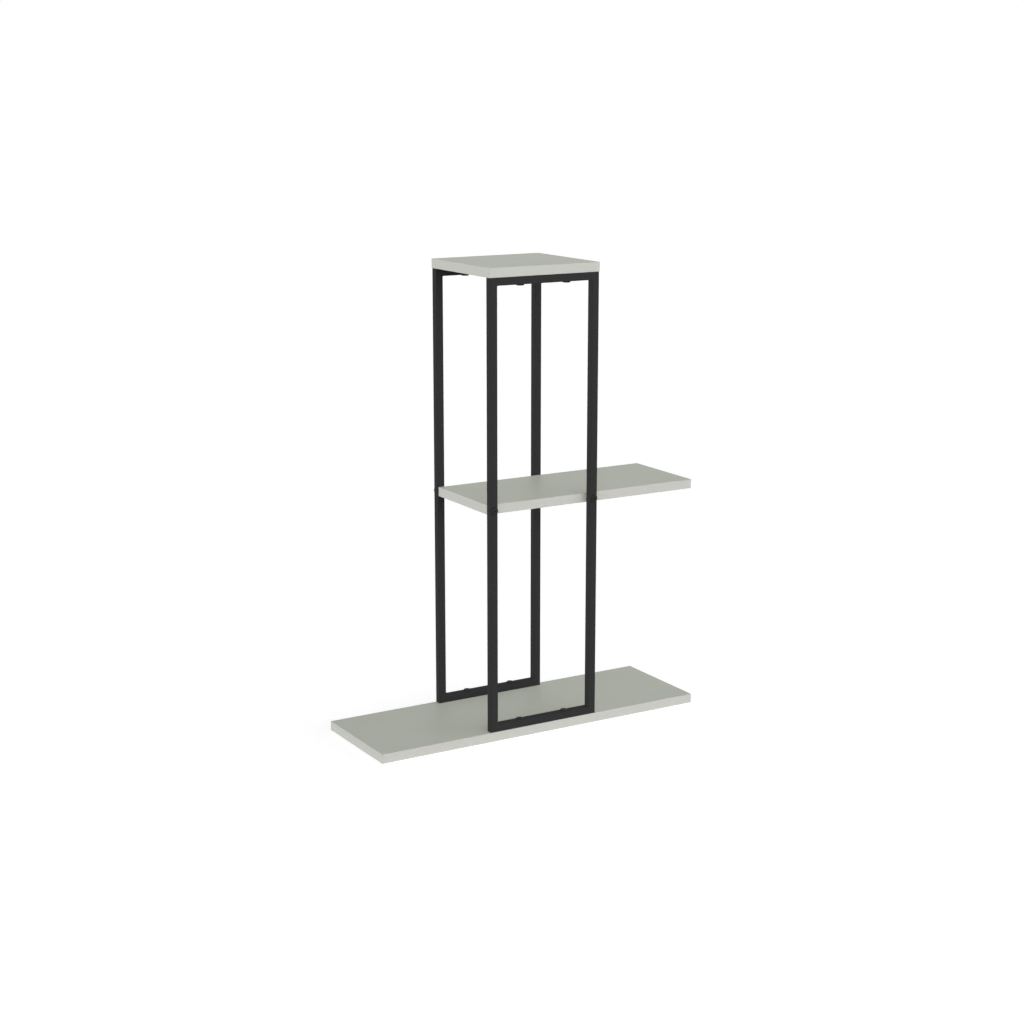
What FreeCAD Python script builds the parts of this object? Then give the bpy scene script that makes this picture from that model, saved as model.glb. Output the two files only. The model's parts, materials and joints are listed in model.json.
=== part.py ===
import FreeCAD, Part
import math
import os

# Two-tier plant stand. A long base board, a middle shelf that runs out past the uprights at the right,
# and a small top board are bolted to two upright loops of square steel tube, one front and one rear.
# Millimetres: X runs along the base, the front is at -Y, Z is up, and the floor is z = 0.
# The origin is on the floor under the middle of the base.

# Boards: melamine-faced chipboard with a glued band on every narrow face
BASE_LENGTH = 700.0
STAND_DEPTH = 220.0
BOARD_THICKNESS = 18.0
TOP_OVERHANG = 1.5  # top board past the frame at each end
SHELF_LENGTH = 466.0
SHELF_SETBACK = 1.5  # left end of the shelf, in from the frame's left face
LOWER_BAY = 423.0  # clear height between base and shelf
EDGE_BAND = 1.0
EDGE_ROUND = 0.4  # along the boards' faces
CORNER_ROUND = 0.85  # on the boards' upright corners, which the front and rear bands cover

# Frames: mitred and welded loops of square tube
FRAME_WIDTH = 235.0
FRAME_HEIGHT = 864.0
TUBE_SIZE = 15.0
TUBE_WALL = 1.2
TUBE_CORNER = 1.0
BORE_CORNER = 0.3
WELD_LEG = 1.2
WELD_BULGE = 0.58  # middle of the bead's face, as a share of its leg

# Bolts: flat round head with a hexagon socket, thread drawn as a plain shank
THREAD_DIAMETER = 6.0
HOLE_CLEARANCE = 0.5  # added to the thread where it passes through a tube
BOLT_SPACING = 100.0  # between the two bolts of a rail
HEAD_DIAMETER = 15.0
HEAD_HEIGHT = 2.2
HEAD_ROUND = 1.5  # on the outer rim
UNDER_ROUND = 0.4  # on the rim against the tube
SOCKET_FLATS = 4.0
SOCKET_DEPTH = 2.6
TIP_CHAMFER = 0.8
TIP_GAP = 3.0  # left in the insert past the bolt's tip

# Inserts: ridged metal sleeves knocked into the boards, one for each bolt
INSERT_DIAMETER = 8.0
INSERT_FLOOR = 5.0  # board left under an insert
INSERT_FIT = 0.1  # added to the insert where it sits in its hole
THREAD_FIT = 0.1  # added to the thread inside the insert
RIDGE_COUNT = 5
RIDGE_HEIGHT = 0.4
RIDGE_CREST = 0.3  # flat crest, as a share of the ridge's pitch

# Glides: round plastic feet nailed under the base
GLIDE_DIAMETER = 18.0
GLIDE_HEIGHT = 3.0
GLIDE_ROUND = 0.8
GLIDE_INSET = 25.0  # glide's centre, in from the base's edges
NAIL_DIAMETER = 2.0
NAIL_TIP = 0.5  # diameter of the blunt tip
NAIL_HEAD_DIAMETER = 5.0
NAIL_HEAD_HEIGHT = 0.8
NAIL_SEAT = 1.2  # plastic left between the nail's head and the base
NAIL_FLOOR = 8.0  # board left above the nail's tip
NAIL_FIT = 0.1  # added to the nail in its holes

V = FreeCAD.Vector
UP = V(0, 0, 1)
DOWN = V(0, 0, -1)
SIDES = {"front": -1, "rear": 1}
ENDS = {"left": -1, "right": 1}

base_bottom = GLIDE_HEIGHT
base_top = base_bottom + BOARD_THICKNESS
shelf_bottom = base_top + LOWER_BAY
frame_top = base_top + FRAME_HEIGHT
frame_half = FRAME_WIDTH / 2
depth_half = STAND_DEPTH / 2
shelf_left = SHELF_SETBACK - frame_half
insert_length = BOARD_THICKNESS - INSERT_FLOOR
shank_length = TUBE_SIZE + insert_length - TIP_GAP


def single(shape):
    """The one solid that a cut, a common or a fillet leaves."""
    return shape.Solids[0]


def box(x0, x1, y0, y1, z0, z1):
    return Part.makeBox(x1 - x0, y1 - y0, z1 - z0, V(x0, y0, z0))


def is_upright(edge):
    """Whether a straight edge runs along Z; the others of a board or bar lie level."""
    return abs(edge.tangentAt(edge.FirstParameter).z) > 0.5


def aimed(shape, point, direction):
    """A copy of a shape drawn about +Z, with its origin at the point and +Z turned to the direction."""
    turn = FreeCAD.Rotation(UP, direction)
    copy = shape.copy()
    copy.Placement = FreeCAD.Placement(point, turn)
    return copy


def hole(diameter, depth, mouth, direction):
    """The material that a drill takes out, down from its mouth against the outward direction."""
    return Part.makeCylinder(diameter / 2, depth, mouth, direction * -1)


def cut_all(shape, tools):
    return single(shape.cut(Part.makeCompound(tools))) if tools else shape


def turned(outline):
    """Solid of revolution about Z from (radius, height) points."""
    points = [V(radius, 0, height) for radius, height in outline]
    wire = Part.makePolygon(points + points[:1])
    return single(Part.Face(wire).revolve(V(0, 0, 0), UP, 360))


def banded_board(name, x0, x1, depth, z0, tools):
    """A board's core and its four edge bands, rounded as one block and drilled with the same holes."""
    y0 = -depth / 2
    y1 = depth / 2
    z1 = z0 + BOARD_THICKNESS
    block = box(x0, x1, y0, y1, z0, z1)
    block = block.makeFillet(CORNER_ROUND, [edge for edge in block.Edges if is_upright(edge)])
    block = block.makeFillet(EDGE_ROUND, [edge for edge in block.Edges if not is_upright(edge)])
    core_x0 = x0 + EDGE_BAND
    core_x1 = x1 - EDGE_BAND
    core_y0 = y0 + EDGE_BAND
    core_y1 = y1 - EDGE_BAND
    regions = {
        "board": box(core_x0, core_x1, core_y0, core_y1, z0, z1),
        "edge_front": box(x0, x1, y0, core_y0, z0, z1),
        "edge_rear": box(x0, x1, core_y1, y1, z0, z1),
        "edge_left": box(x0, core_x0, core_y0, core_y1, z0, z1),
        "edge_right": box(core_x1, x1, core_y0, core_y1, z0, z1),
    }
    pieces = {part: single(block.common(region)) for part, region in regions.items()}
    return {f"{name}_{part}": cut_all(piece, tools) for part, piece in pieces.items()}


def rounded_bar(size, corner, length):
    """Square bar along +Z from z = 0, centred on the axis, with rounded long edges."""
    bar = Part.makeBox(size, size, length, V(-size / 2, -size / 2, 0))
    return single(bar.makeFillet(corner, [edge for edge in bar.Edges if is_upright(edge)]))


def square_tube(length, start, direction):
    """Hollow square tube on the axis that leaves the start point in the given direction."""
    bore = rounded_bar(TUBE_SIZE - 2 * TUBE_WALL, BORE_CORNER, length)
    tube = single(rounded_bar(TUBE_SIZE, TUBE_CORNER, length).cut(bore))
    return aimed(tube, start, direction)


def prism(edges, depth):
    """Solid swept along +Y from a closed outline of edges."""
    return Part.Face(Part.Wire(edges)).extrude(V(0, depth, 0))


def mitred(tube, corners, y):
    """The length of a tube that lies inside an (x, z) outline, which cuts its ends at 45 degrees."""
    points = [V(x, y - TUBE_SIZE, z) for x, z in corners]
    outline = Part.makePolygon(points + points[:1])
    return single(tube.common(prism(outline.Edges, 2 * TUBE_SIZE)))


def frame_tubes(y, tools):
    """The four tubes of one loop, mitred into each other and drilled for their bolts."""
    axis = TUBE_SIZE / 2
    inner_x = frame_half - TUBE_SIZE
    inner_bottom = base_top + TUBE_SIZE
    inner_top = frame_top - TUBE_SIZE
    tubes = {}
    for end, sign in ENDS.items():
        tube = square_tube(FRAME_HEIGHT, V(sign * (frame_half - axis), y, base_top), UP)
        corners = [
            (sign * frame_half, base_top),
            (sign * inner_x, inner_bottom),
            (sign * inner_x, inner_top),
            (sign * frame_half, frame_top),
        ]
        tubes[f"{end}_upright"] = mitred(tube, corners, y)
    rails = {"bottom_rail": (base_top, inner_bottom), "top_rail": (frame_top, inner_top)}
    for name, (outer_z, inner_z) in rails.items():
        start = V(-frame_half, y, (outer_z + inner_z) / 2)
        tube = square_tube(FRAME_WIDTH, start, V(1, 0, 0))
        corners = [
            (-frame_half, outer_z),
            (-inner_x, inner_z),
            (inner_x, inner_z),
            (frame_half, outer_z),
        ]
        tubes[name] = mitred(tube, corners, y)
    return {name: cut_all(tube, tools) for name, tube in tubes.items()}


def corner_welds(y):
    """Four beads along the inside corners of one loop, each with a slightly swollen face."""
    length = TUBE_SIZE - 2 * TUBE_CORNER
    corner_x = frame_half - TUBE_SIZE
    corner_heights = [(base_top + TUBE_SIZE, UP), (frame_top - TUBE_SIZE, DOWN)]
    beads = []
    for x_sign in ENDS.values():
        for corner_z, inward in corner_heights:
            root = V(x_sign * corner_x, y - length / 2, corner_z)
            rail_toe = root + V(-x_sign * WELD_LEG, 0, 0)
            upright_toe = root + inward * WELD_LEG
            crown = root + (rail_toe - root + upright_toe - root) * WELD_BULGE
            edges = [
                Part.makeLine(root, rail_toe),
                Part.Arc(rail_toe, crown, upright_toe).toShape(),
                Part.makeLine(upright_toe, root),
            ]
            beads.append(prism(edges, length))
    return beads


def bolt():
    """Bolt about +Z: flat head above z = 0, shank below, and a socket down into both."""
    head = Part.makeCylinder(HEAD_DIAMETER / 2, HEAD_HEIGHT)
    outer_rim = [edge for edge in head.Edges if edge.BoundBox.ZMin > HEAD_HEIGHT / 2]
    head = single(head.makeFillet(HEAD_ROUND, outer_rim))
    under_rim = [edge for edge in head.Edges if edge.BoundBox.ZMax < UNDER_ROUND]
    head = single(head.makeFillet(UNDER_ROUND, under_rim))
    shank = turned([
        (0, 0),
        (THREAD_DIAMETER / 2, 0),
        (THREAD_DIAMETER / 2, TIP_CHAMFER - shank_length),
        (THREAD_DIAMETER / 2 - TIP_CHAMFER, -shank_length),
        (0, -shank_length),
    ])
    radius = SOCKET_FLATS / 2 / math.cos(math.pi / 6)
    floor_z = HEAD_HEIGHT - SOCKET_DEPTH
    points = [
        V(radius * math.cos(turn * math.pi / 3), radius * math.sin(turn * math.pi / 3), floor_z)
        for turn in range(6)
    ]
    hexagon = Part.Face(Part.makePolygon(points + points[:1]))
    socket = hexagon.extrude(V(0, 0, SOCKET_DEPTH))
    return single(head.fuse(shank).removeSplitter().cut(socket))


def insert():
    """Insert about +Z: mouth at z = 0, body below, with ridges round it and a plain bore."""
    bore = (THREAD_DIAMETER + THREAD_FIT) / 2
    crest = INSERT_DIAMETER / 2
    root = crest - RIDGE_HEIGHT
    pitch = insert_length / RIDGE_COUNT
    rise = pitch * (1 - RIDGE_CREST) / 2
    outline = [(bore, 0), (root, 0)]
    for ridge in range(RIDGE_COUNT):
        ridge_top = -ridge * pitch
        outline.append((crest, ridge_top - rise))
        outline.append((crest, ridge_top - pitch + rise))
        outline.append((root, ridge_top - pitch))
    outline.append((bore, -insert_length))
    return turned(outline)


def glide():
    """Glide about +Z, standing on z = 0, with a stepped hole for its nail and a rounded lower rim."""
    radius = GLIDE_DIAMETER / 2
    body = Part.makeCylinder(radius, GLIDE_HEIGHT)
    rim = [edge for edge in body.Edges if edge.BoundBox.ZMax < GLIDE_HEIGHT / 2]
    body = single(body.makeFillet(GLIDE_ROUND, rim))
    shank_hole = Part.makeCylinder((NAIL_DIAMETER + NAIL_FIT) / 2, GLIDE_HEIGHT)
    head_hole = Part.makeCylinder((NAIL_HEAD_DIAMETER + NAIL_FIT) / 2, GLIDE_HEIGHT - NAIL_SEAT)
    return single(body.cut(shank_hole).cut(head_hole))


def nail():
    """Nail about +Z: its head in the glide over z = 0, its point up in the base."""
    head_top = GLIDE_HEIGHT - NAIL_SEAT
    head_bottom = head_top - NAIL_HEAD_HEIGHT
    tip = base_top - NAIL_FLOOR
    return turned([
        (0, head_bottom),
        (NAIL_HEAD_DIAMETER / 2, head_bottom),
        (NAIL_HEAD_DIAMETER / 2, head_top),
        (NAIL_DIAMETER / 2, head_top),
        (NAIL_DIAMETER / 2, tip - NAIL_DIAMETER),
        (NAIL_TIP / 2, tip),
        (0, tip),
    ])


def bolt_seats(side):
    """Where the bolt heads of one frame sit, by the board they hold: (point, outward direction) pairs."""
    y = side * (depth_half - TUBE_SIZE / 2)
    rail_x = (-BOLT_SPACING / 2, BOLT_SPACING / 2)
    upright_x = (TUBE_SIZE / 2 - frame_half, frame_half - TUBE_SIZE / 2)
    shelf_middle = shelf_bottom + BOARD_THICKNESS / 2
    return {
        "base": [(V(x, y, base_top + TUBE_SIZE), UP) for x in rail_x],
        "top": [(V(x, y, frame_top - TUBE_SIZE), DOWN) for x in rail_x],
        "shelf": [(V(x, side * depth_half, shelf_middle), V(0, side, 0)) for x in upright_x],
    }


nodes = {}
seats = {side: bolt_seats(sign) for side, sign in SIDES.items()}

# Frames, their welds and their bolts
for side, sign in SIDES.items():
    frame_y = sign * (depth_half - TUBE_SIZE / 2)
    drilled = [
        hole(THREAD_DIAMETER + HOLE_CLEARANCE, TUBE_SIZE, point, outward)
        for group in seats[side].values()
        for point, outward in group
    ]
    for name, tube in frame_tubes(frame_y, drilled).items():
        nodes[f"{side}_{name}"] = tube
    nodes[f"{side}_corner_welds"] = Part.makeCompound(corner_welds(frame_y))
    for board, group in seats[side].items():
        bolts = [aimed(bolt(), point, outward) for point, outward in group]
        nodes[f"{side}_{board}_bolts"] = Part.makeCompound(bolts)

# Inserts, with their mouths at the faces that the tubes bear on
insert_holes = {}
for board in ("base", "shelf", "top"):
    mouths = [
        (point - outward * TUBE_SIZE, outward)
        for side in SIDES
        for point, outward in seats[side][board]
    ]
    nodes[f"{board}_inserts"] = Part.makeCompound([aimed(insert(), *mouth) for mouth in mouths])
    insert_holes[board] = [hole(INSERT_DIAMETER + INSERT_FIT, insert_length, *mouth) for mouth in mouths]

# Glides and their nails, near the corners of the base
glide_points = [
    V(end * (BASE_LENGTH / 2 - GLIDE_INSET), side * (depth_half - GLIDE_INSET), 0)
    for end in ENDS.values()
    for side in SIDES.values()
]
nodes["foot_glides"] = Part.makeCompound([aimed(glide(), point, UP) for point in glide_points])
nodes["glide_nails"] = Part.makeCompound([aimed(nail(), point, UP) for point in glide_points])
nail_holes = [
    hole(NAIL_DIAMETER + NAIL_FIT, BOARD_THICKNESS - NAIL_FLOOR, point + UP * base_bottom, DOWN)
    for point in glide_points
]

# Boards: the base and the top are as deep as the stand, the shelf fits between the two frames
base_half = BASE_LENGTH / 2
top_half = frame_half + TOP_OVERHANG
shelf_right = shelf_left + SHELF_LENGTH
shelf_depth = STAND_DEPTH - 2 * TUBE_SIZE
boards = {
    "base": (-base_half, base_half, STAND_DEPTH, base_bottom, insert_holes["base"] + nail_holes),
    "shelf": (shelf_left, shelf_right, shelf_depth, shelf_bottom, insert_holes["shelf"]),
    "top": (-top_half, top_half, STAND_DEPTH, frame_top, insert_holes["top"]),
}
for name, layout in boards.items():
    nodes.update(banded_board(name, *layout))

os.makedirs("parts", exist_ok=True)
for name, shape in nodes.items():
    shape.exportStep(f"parts/{name}.step")
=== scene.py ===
import json
import math

import bmesh
import bpy
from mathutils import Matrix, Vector


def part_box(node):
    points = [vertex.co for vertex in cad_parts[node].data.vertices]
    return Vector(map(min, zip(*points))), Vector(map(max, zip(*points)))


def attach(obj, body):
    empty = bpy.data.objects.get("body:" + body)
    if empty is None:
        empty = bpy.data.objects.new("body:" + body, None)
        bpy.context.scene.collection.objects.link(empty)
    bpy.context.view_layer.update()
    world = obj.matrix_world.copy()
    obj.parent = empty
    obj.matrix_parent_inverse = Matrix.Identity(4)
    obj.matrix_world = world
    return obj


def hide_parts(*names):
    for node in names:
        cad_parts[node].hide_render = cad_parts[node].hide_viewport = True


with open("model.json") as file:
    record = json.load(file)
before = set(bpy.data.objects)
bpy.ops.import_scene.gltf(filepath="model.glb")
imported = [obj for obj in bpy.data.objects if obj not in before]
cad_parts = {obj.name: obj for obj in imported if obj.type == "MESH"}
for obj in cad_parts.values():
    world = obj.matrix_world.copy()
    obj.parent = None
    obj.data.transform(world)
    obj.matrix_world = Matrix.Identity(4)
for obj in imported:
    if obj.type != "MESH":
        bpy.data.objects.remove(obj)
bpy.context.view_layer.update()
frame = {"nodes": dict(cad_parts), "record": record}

# Looks of the plant stand: materials, floor, light and camera. Metres, in the frame of the solids:
# X runs along the base, the front is at -Y, Z is up, and the floor is z = 0.
# An azimuth is counted from the front round to the right.

# Colours, linear
BOARD_COLOUR = (0.504, 0.526, 0.459)
BAND_COLOUR = (0.520, 0.521, 0.482)
STEEL_COLOUR = (0.0318, 0.0318, 0.0320)
# the bolts' colour is black plating, made darker than the frame's steel by painted shade that stands in for
# the dark ring around their heads
BOLT_COLOUR_WITH_PAINTED_SHADE = (0.0250, 0.0250, 0.0254)
GLIDE_COLOUR = (0.02, 0.02, 0.02)
ZINC_COLOUR = (0.6, 0.6, 0.58)

# Texture
NOISE_LOW = 0.3  # nearly all noise lies between these two
NOISE_HIGH = 0.7
STREAKS_PER_METRE = (6.0, 6.0, 2500.0)  # close together in height, so that they run along a band

# Weld beads in the inside corners, in metres
BEAD_LEG = 0.0012
BEAD_SWELL = 0.82  # middle of a bead's face from the root, as a share of the leg
BEAD_PITCH = 0.0011  # from one ripple to the next
BEAD_RIPPLE = 0.12  # height of a ripple, as a share of the leg
BEAD_LAG = 0.35  # lag of a ripple's middle behind its ends, as a share of the pitch
BEAD_CAP = 0.0009  # rounded length at each end
BEAD_TIP = 0.02  # leg at the very ends, as a share of the full leg
BEAD_STEPS = 96
BEAD_SPOKES = 9

# Mitre seams ground flush with the tubes, in metres
SEAM_WIDTH = 0.0015
SEAM_HEIGHT = 0.00006
SEAM_ROOT = 0.0003  # depth of a seam in the tube's wall
SEAM_WAVER = 0.00018  # sideways wander
SEAM_WAVES = 19.0  # radians of that wander along a seam
SEAM_PHASE = Vector((30.0, 5.0, 40.0))  # radians by place, so that no two seams wander alike
SEAM_BLUNT = 6  # power that shapes the ends: higher is blunter
SEAM_TIP = 0.2  # width at the very ends, as a share of the full width
SEAM_STEPS = 40
SEAM_SPOKES = 7

SHARP_ANGLE = math.radians(50)  # an edge of a bead or seam that turns further stays sharp

# Camera
CAMERA_PLACE = Vector((-1.851, -3.103, 1.239))  # fitted to the straight edges in the photo
CAMERA_AZIMUTH = math.radians(-30.73)  # side that it looks from
CAMERA_ELEVATION = math.radians(12.81)  # angle at which it looks down
CAMERA_LENS = 67.3  # millimetres
CAMERA_SENSOR = 36.0  # millimetres

# Light
REAR_LIGHT = 0.2  # strength of the sky at the horizon behind the stand
FRONT_LIGHT = 5.15  # the same where the sky is brightest
FRONT_AZIMUTH = math.radians(25)  # where the sky is brightest
ZENITH_LIGHT = 0.01  # strength of the sky overhead
ZENITH_FROM = 0.766  # sine of the elevation above which the light is the zenith's
FILL_LIGHT = 2.56  # watts per square metre
FILL_AZIMUTH = math.radians(-127)  # side that the fill comes from
FILL_ELEVATION = math.radians(25)

# Floor
FLOOR_SIZE = 400.0  # so wide that no light comes from under the horizon
FLOOR_BOUNCE = 0.7  # share of the light that it sends back to the stand
FLOOR_SHADE = 0.5  # share of the light that the camera sees on it
FLOOR_GLOW = 0.685  # added to what the camera sees, so that all but the shadow is white


def direction(azimuth, elevation):
    """Unit vector from the stand to one side, raised by an elevation."""
    return Vector((
        math.sin(azimuth) * math.cos(elevation),
        -math.cos(azimuth) * math.cos(elevation),
        math.sin(elevation),
    ))


def new_object(name, data):
    thing = bpy.data.objects.new(name, data)
    bpy.context.scene.collection.objects.link(thing)
    return thing


def aim_from(thing, side):
    """Turns a lamp or a camera so that it shines or looks from one side."""
    thing.rotation_mode = "QUATERNION"
    thing.rotation_quaternion = side.to_track_quat("Z", "Y")


def new_node(tree, kind, inputs, **settings):
    """A new node. Its inputs are numbers, colours or outputs of other nodes."""
    node = tree.nodes.new(kind)
    for name, value in settings.items():
        setattr(node, name, value)
    for name, value in inputs.items():
        if isinstance(value, bpy.types.NodeSocket):
            tree.links.new(value, node.inputs[name])
        else:
            node.inputs[name].default_value = value
    return node


def combined(tree, operation, first, second):
    return new_node(tree, "ShaderNodeMath", {0: first, 1: second}, operation=operation).outputs["Value"]


def carried_over(tree, value, start, end, low, high):
    """A value from the range between start and end, carried over to the range between low and high."""
    inputs = {"Value": value, "From Min": start, "From Max": end, "To Min": low, "To Max": high}
    return new_node(tree, "ShaderNodeMapRange", inputs).outputs["Result"]


def spread(tree, value, low, high):
    """Noise spread over the range between low and high."""
    return carried_over(tree, value, NOISE_LOW, NOISE_HIGH, low, high)


def coordinates(tree, stretch=(1.0, 1.0, 1.0)):
    """Places on the object in metres, times a stretch."""
    place = new_node(tree, "ShaderNodeTexCoord", {}).outputs["Object"]
    return new_node(tree, "ShaderNodeMapping", {"Vector": place, "Scale": stretch}).outputs["Vector"]


def noise(tree, place, scale=1.0, detail=2.0):
    inputs = {"Vector": place, "Scale": scale, "Detail": detail}
    return new_node(tree, "ShaderNodeTexNoise", inputs).outputs["Fac"]


def new_finish(name, metallic=0.0, specular=0.5):
    """A new material: itself, its node tree and its principled shader."""
    material = bpy.data.materials.new(name)
    material.use_nodes = True
    tree = material.node_tree
    shader = tree.nodes["Principled BSDF"]
    shader.inputs["Metallic"].default_value = metallic
    shader.inputs["Specular IOR Level"].default_value = specular
    return material, tree, shader


def coloured(tree, shader, colour, factor):
    """A colour made lighter and darker by a varying factor around 1."""
    tint = new_node(tree, "ShaderNodeVectorMath", {0: colour, "Scale": factor}, operation="SCALE")
    shader.inputs["Base Color"].default_value = (*colour, 1.0)
    tree.links.new(tint.outputs["Vector"], shader.inputs["Base Color"])


def roughened(tree, shader, value, low, high):
    """A roughness that varies with noise between low and high."""
    shader.inputs["Roughness"].default_value = (low + high) / 2
    tree.links.new(spread(tree, value, low, high), shader.inputs["Roughness"])


def embossed(tree, shader, height, depth, strength):
    bump = new_node(tree, "ShaderNodeBump", {"Height": height, "Distance": depth, "Strength": strength})
    tree.links.new(bump.outputs["Normal"], shader.inputs["Normal"])


def board_melamine():
    """Matt stone-grey melamine: faint clouds, fine speckle and a pearl emboss."""
    material, tree, shader = new_finish("stone_grey_melamine", specular=0.2)
    place = coordinates(tree)
    clouds = spread(tree, noise(tree, place, scale=9.0, detail=3.0), low=0.985, high=1.015)
    speckle = spread(tree, noise(tree, place, scale=700.0), low=0.965, high=1.035)
    pearl = noise(tree, place, scale=1500.0)
    coloured(tree, shader, BOARD_COLOUR, combined(tree, "MULTIPLY", clouds, speckle))
    roughened(tree, shader, pearl, low=0.46, high=0.58)
    embossed(tree, shader, pearl, depth=0.00006, strength=0.6)
    return material


def edge_band():
    """Extruded plastic edging in the boards' colour, with fine lines along its length."""
    material, tree, shader = new_finish("grey_edge_band", specular=0.45)
    streaks = noise(tree, coordinates(tree, STREAKS_PER_METRE))
    grain = noise(tree, coordinates(tree), scale=900.0)
    lines = spread(tree, streaks, low=0.985, high=1.015)
    speckle = spread(tree, grain, low=0.98, high=1.02)
    coloured(tree, shader, BAND_COLOUR, combined(tree, "MULTIPLY", lines, speckle))
    roughened(tree, shader, grain, low=0.4, high=0.52)
    embossed(tree, shader, streaks, depth=0.00003, strength=0.5)
    return material


def powder_coat():
    """Black powder coat on steel: orange peel over a very fine grit."""
    material, tree, shader = new_finish("black_powder_coat", specular=0.02)
    place = coordinates(tree)
    peel = noise(tree, place, scale=600.0, detail=1.0)
    grit = noise(tree, place, scale=2600.0)
    coloured(tree, shader, STEEL_COLOUR, spread(tree, grit, low=0.8, high=1.2))
    roughened(tree, shader, grit, low=0.58, high=0.72)
    embossed(tree, shader, peel, depth=0.00008, strength=0.7)
    return material


def bolt_black():
    """Black-plated bolt, smoother than the frame, with its colour darkened below the frame's by painted
    shade that stands in for the dark ring around the heads.
    """
    material, tree, shader = new_finish("black_plating_with_painted_shade", specular=0.04)
    grain = noise(tree, coordinates(tree), scale=1800.0, detail=3.0)
    coloured(tree, shader, BOLT_COLOUR_WITH_PAINTED_SHADE, spread(tree, grain, low=0.75, high=1.25))
    roughened(tree, shader, grain, low=0.42, high=0.58)
    embossed(tree, shader, grain, depth=0.00003, strength=0.5)
    return material


def bare_metal():
    """Bare zinc and steel of the inserts and nails."""
    material, tree, shader = new_finish("bare_zinc", metallic=1.0)
    grain = noise(tree, coordinates(tree), scale=900.0, detail=3.0)
    coloured(tree, shader, ZINC_COLOUR, spread(tree, grain, low=0.85, high=1.1))
    roughened(tree, shader, grain, low=0.28, high=0.46)
    embossed(tree, shader, grain, depth=0.00002, strength=0.5)
    return material


def glide_plastic():
    """Black moulded plastic with a fine spark-eroded grain."""
    material, tree, shader = new_finish("black_glide_plastic")
    grain = noise(tree, coordinates(tree), scale=2200.0)
    coloured(tree, shader, GLIDE_COLOUR, spread(tree, grain, low=0.85, high=1.15))
    roughened(tree, shader, grain, low=0.42, high=0.58)
    embossed(tree, shader, grain, depth=0.00004, strength=0.6)
    return material


def make_finishes():
    """The finish of each material slot in the record."""
    metal = bare_metal()
    return {
        "board_melamine": board_melamine(),
        "edge_band": edge_band(),
        "frame_steel": powder_coat(),
        "bolt_black": bolt_black(),
        "insert_zinc": metal,
        "glide_plastic": glide_plastic(),
        "nail_steel": metal,
    }


def dress_nodes(finishes):
    """Gives each solid the finish of its material slot."""
    for part in frame["record"]["subparts"]:
        node = frame["nodes"][part["node"]]
        node.material_slots[0].material = finishes[part["material_slot"]]


def frame_corners(side):
    """For each corner of a loop: its inner point in the loop's middle plane, and the signs that lead
    from there into the open window along X and Z."""
    left_low, left_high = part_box(f"{side}_left_upright")
    right_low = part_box(f"{side}_right_upright")[0]
    bottom_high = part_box(f"{side}_bottom_rail")[1]
    top_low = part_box(f"{side}_top_rail")[0]
    y = (left_low.y + left_high.y) / 2
    return [
        (Vector((x, y, z)), x_in, z_in)
        for x, x_in in ((left_high.x, 1), (right_low.x, -1))
        for z, z_in in ((bottom_high.z, 1), (top_low.z, -1))
    ]


def thickness(node):
    """Size of a node from front to rear."""
    low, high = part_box(node)
    return high.y - low.y


def add_piece(name, points, faces, steel, replaced=()):
    """A closed piece of the frame's steel, smooth where it is rounded."""
    mesh = bpy.data.meshes.new(name)
    mesh.from_pydata(points, [], faces)
    shape = bmesh.new()
    shape.from_mesh(mesh)
    bmesh.ops.recalc_face_normals(shape, faces=shape.faces)
    shape.to_mesh(mesh)
    shape.free()
    mesh.shade_smooth()
    mesh.set_sharp_from_angle(angle=SHARP_ANGLE)
    mesh.materials.append(steel)
    piece = new_object(name, mesh)
    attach(piece, "root")
    for node in replaced:
        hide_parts(node)


def bar_faces(first, rings, spokes):
    """Faces of a closed bar made of rings of points: quads from ring to ring, and its two ends."""
    faces = []
    for ring in range(rings - 1):
        for spoke in range(spokes):
            a = first + ring * spokes + spoke
            b = first + ring * spokes + (spoke + 1) % spokes
            faces.append((a, b, b + spokes, a + spokes))
    last = first + (rings - 1) * spokes
    faces.append(tuple(range(first, first + spokes)))
    faces.append(tuple(range(last, last + spokes)))
    return faces


def bead_outline(along, half):
    """Closed outline across a bead, at a distance along it from its middle: (X, Z) points from its root."""
    past = max(0.0, (abs(along) - half + BEAD_CAP) / BEAD_CAP)
    cap = max(BEAD_TIP, math.sqrt(max(0.0, 1 - past * past)))
    outline = [(0.0, 0.0)]
    for spoke in range(BEAD_SPOKES):
        turn = spoke / (BEAD_SPOKES - 1) * math.pi / 2
        crescent = math.sin(2 * turn)
        phase = (along / BEAD_PITCH + BEAD_LAG * crescent) % 1.0
        ripple = 1 + BEAD_RIPPLE * crescent * (1 - (2 * phase - 1) ** 2)
        reach = BEAD_LEG * cap * ripple * (1 - (1 - BEAD_SWELL) * crescent)
        outline.append((reach * math.cos(turn), reach * math.sin(turn)))
    return outline


def weld_beads(side, steel):
    """Rippled fillet beads along the inside corners of a loop."""
    points = []
    faces = []
    half = thickness(f"{side}_corner_welds") / 2
    for root, x_in, z_in in frame_corners(side):
        first = len(points)
        for step in range(BEAD_STEPS + 1):
            along = (2 * step / BEAD_STEPS - 1) * half
            for x, z in bead_outline(along, half):
                points.append(root + Vector((x_in * x, along, z_in * z)))
        faces += bar_faces(first, BEAD_STEPS + 1, BEAD_SPOKES + 1)
    add_piece(f"{side}_weld_beads", points, faces, steel, (f"{side}_corner_welds",))


def seam_outline(taper):
    """Closed outline across a seam: (share of its half width, height over the tube's face) points."""
    offsets = [2 * spoke / (SEAM_SPOKES - 1) - 1 for spoke in range(SEAM_SPOKES)]
    crest = [(offset, SEAM_HEIGHT * (2 * taper * (1 - offset * offset) - 1)) for offset in offsets]
    root = [(offset, -SEAM_HEIGHT - SEAM_ROOT * (1 - offset * offset)) for offset in offsets[-2:0:-1]]
    return crest + root


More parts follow.
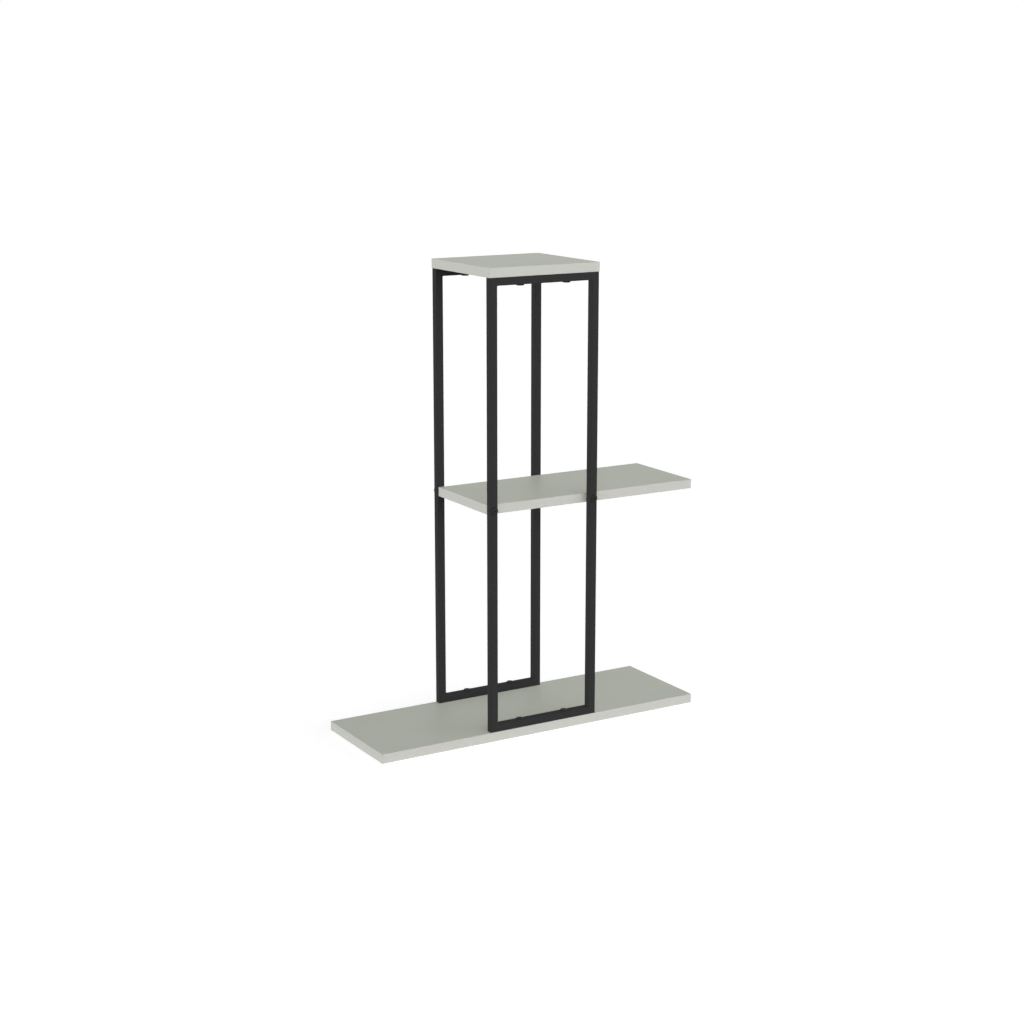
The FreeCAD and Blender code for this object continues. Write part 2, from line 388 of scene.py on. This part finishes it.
def mitre_seams(side, steel):
    """Low ridges left where the mitres were ground flush, on the front and the rear of a loop."""
    points = []
    faces = []
    size = thickness(f"{side}_left_upright")
    corner = (size - thickness(f"{side}_corner_welds")) / 2  # the welds end where the tubes' corners start
    start = corner * math.sqrt(2)
    end = (size - corner) * math.sqrt(2)
    for root, x_in, z_in in frame_corners(side):
        outward = Vector((-x_in, 0, -z_in)).normalized()
        across = Vector((x_in, 0, -z_in)).normalized()
        for facing in (-1, 1):
            first = len(points)
            phase = SEAM_PHASE.dot(Vector((root.x, facing, root.z)))
            for step in range(SEAM_STEPS + 1):
                share = step / SEAM_STEPS
                taper = max(SEAM_TIP, math.sqrt(max(0.0, 1 - (2 * share - 1) ** SEAM_BLUNT)))
                wander = SEAM_WAVER * math.sin(SEAM_WAVES * share + phase)
                middle = root + outward * (start + share * (end - start)) + across * wander
                for offset, height in seam_outline(taper):
                    lift = Vector((0, facing * (size / 2 + height), 0))
                    points.append(middle + across * (offset * taper * SEAM_WIDTH / 2) + lift)
            faces += bar_faces(first, SEAM_STEPS + 1, 2 * SEAM_SPOKES - 2)
    add_piece(f"{side}_mitre_seams", points, faces, steel)


def seen_directly(tree):
    """1 for what the camera sees, also in a reflection or through glass, and 0 for light on its way."""
    path = new_node(tree, "ShaderNodeLightPath", {}).outputs
    seen = path["Is Camera Ray"]
    for ray in ("Is Glossy Ray", "Is Transmission Ray"):
        seen = combined(tree, "MAXIMUM", seen, path[ray])
    return seen


def matt(tree, grey):
    return new_node(tree, "ShaderNodeBsdfDiffuse", {"Color": (grey, grey, grey, 1)}).outputs["BSDF"]


def make_floor():
    """Wide white floor. Seen by the camera it glows up to white and keeps the shadow."""
    half = FLOOR_SIZE / 2
    mesh = bpy.data.meshes.new("floor")
    corners = [(-half, -half, 0), (half, -half, 0), (half, half, 0), (-half, half, 0)]
    mesh.from_pydata(corners, [], [(0, 1, 2, 3)])
    material = bpy.data.materials.new("white_floor")
    material.use_nodes = True
    tree = material.node_tree
    tree.nodes.clear()
    bounce = matt(tree, FLOOR_BOUNCE)
    glow = new_node(tree, "ShaderNodeEmission", {"Strength": FLOOR_GLOW}).outputs["Emission"]
    seen = new_node(tree, "ShaderNodeAddShader", {0: matt(tree, FLOOR_SHADE), 1: glow}).outputs["Shader"]
    mix = new_node(tree, "ShaderNodeMixShader", {"Fac": seen_directly(tree), 1: bounce, 2: seen})
    new_node(tree, "ShaderNodeOutputMaterial", {"Surface": mix.outputs["Shader"]})
    mesh.materials.append(material)
    floor = new_object("floor", mesh)


def white_light(tree, strength):
    inputs = {"Color": (1, 1, 1, 1), "Strength": strength}
    return new_node(tree, "ShaderNodeBackground", inputs).outputs["Background"]


def make_world():
    """White studio: soft light, strongest near the horizon and from the front right."""
    world = bpy.data.worlds.new("studio")
    bpy.context.scene.world = world
    world.use_nodes = True
    tree = world.node_tree
    tree.nodes.clear()
    ray = new_node(tree, "ShaderNodeTexCoord", {}).outputs["Generated"]
    ahead = {0: ray, 1: direction(FRONT_AZIMUTH, 0)}
    facing = new_node(tree, "ShaderNodeVectorMath", ahead, operation="DOT_PRODUCT").outputs["Value"]
    height = new_node(tree, "ShaderNodeSeparateXYZ", {"Vector": ray}).outputs["Z"]
    horizon = carried_over(tree, facing, 0.0, 1.0, REAR_LIGHT, FRONT_LIGHT)
    sky = white_light(tree, carried_over(tree, height, 0.0, ZENITH_FROM, horizon, ZENITH_LIGHT))
    backdrop = white_light(tree, 1.0)
    mix = new_node(tree, "ShaderNodeMixShader", {"Fac": seen_directly(tree), 1: sky, 2: backdrop})
    new_node(tree, "ShaderNodeOutputWorld", {"Surface": mix.outputs["Shader"]})


def make_fill():
    """Lamp from the rear left that evens out the light. It casts no shadow and makes no highlights."""
    data = bpy.data.lights.new("fill", "SUN")
    data.energy = FILL_LIGHT
    data.use_shadow = False
    lamp = new_object("fill", data)
    lamp.visible_glossy = False
    aim_from(lamp, direction(FILL_AZIMUTH, FILL_ELEVATION))


def make_camera():
    data = bpy.data.cameras.new("camera")
    data.sensor_width = CAMERA_SENSOR
    data.lens = CAMERA_LENS
    camera = new_object("camera", data)
    camera.location = CAMERA_PLACE
    aim_from(camera, direction(CAMERA_AZIMUTH, CAMERA_ELEVATION))
    bpy.context.scene.camera = camera


finishes = make_finishes()
dress_nodes(finishes)
for side in ("front", "rear"):
    weld_beads(side, finishes["frame_steel"])
    mitre_seams(side, finishes["frame_steel"])
make_floor()
make_world()
make_fill()
make_camera()
bpy.context.scene.view_settings.view_transform = "Standard"
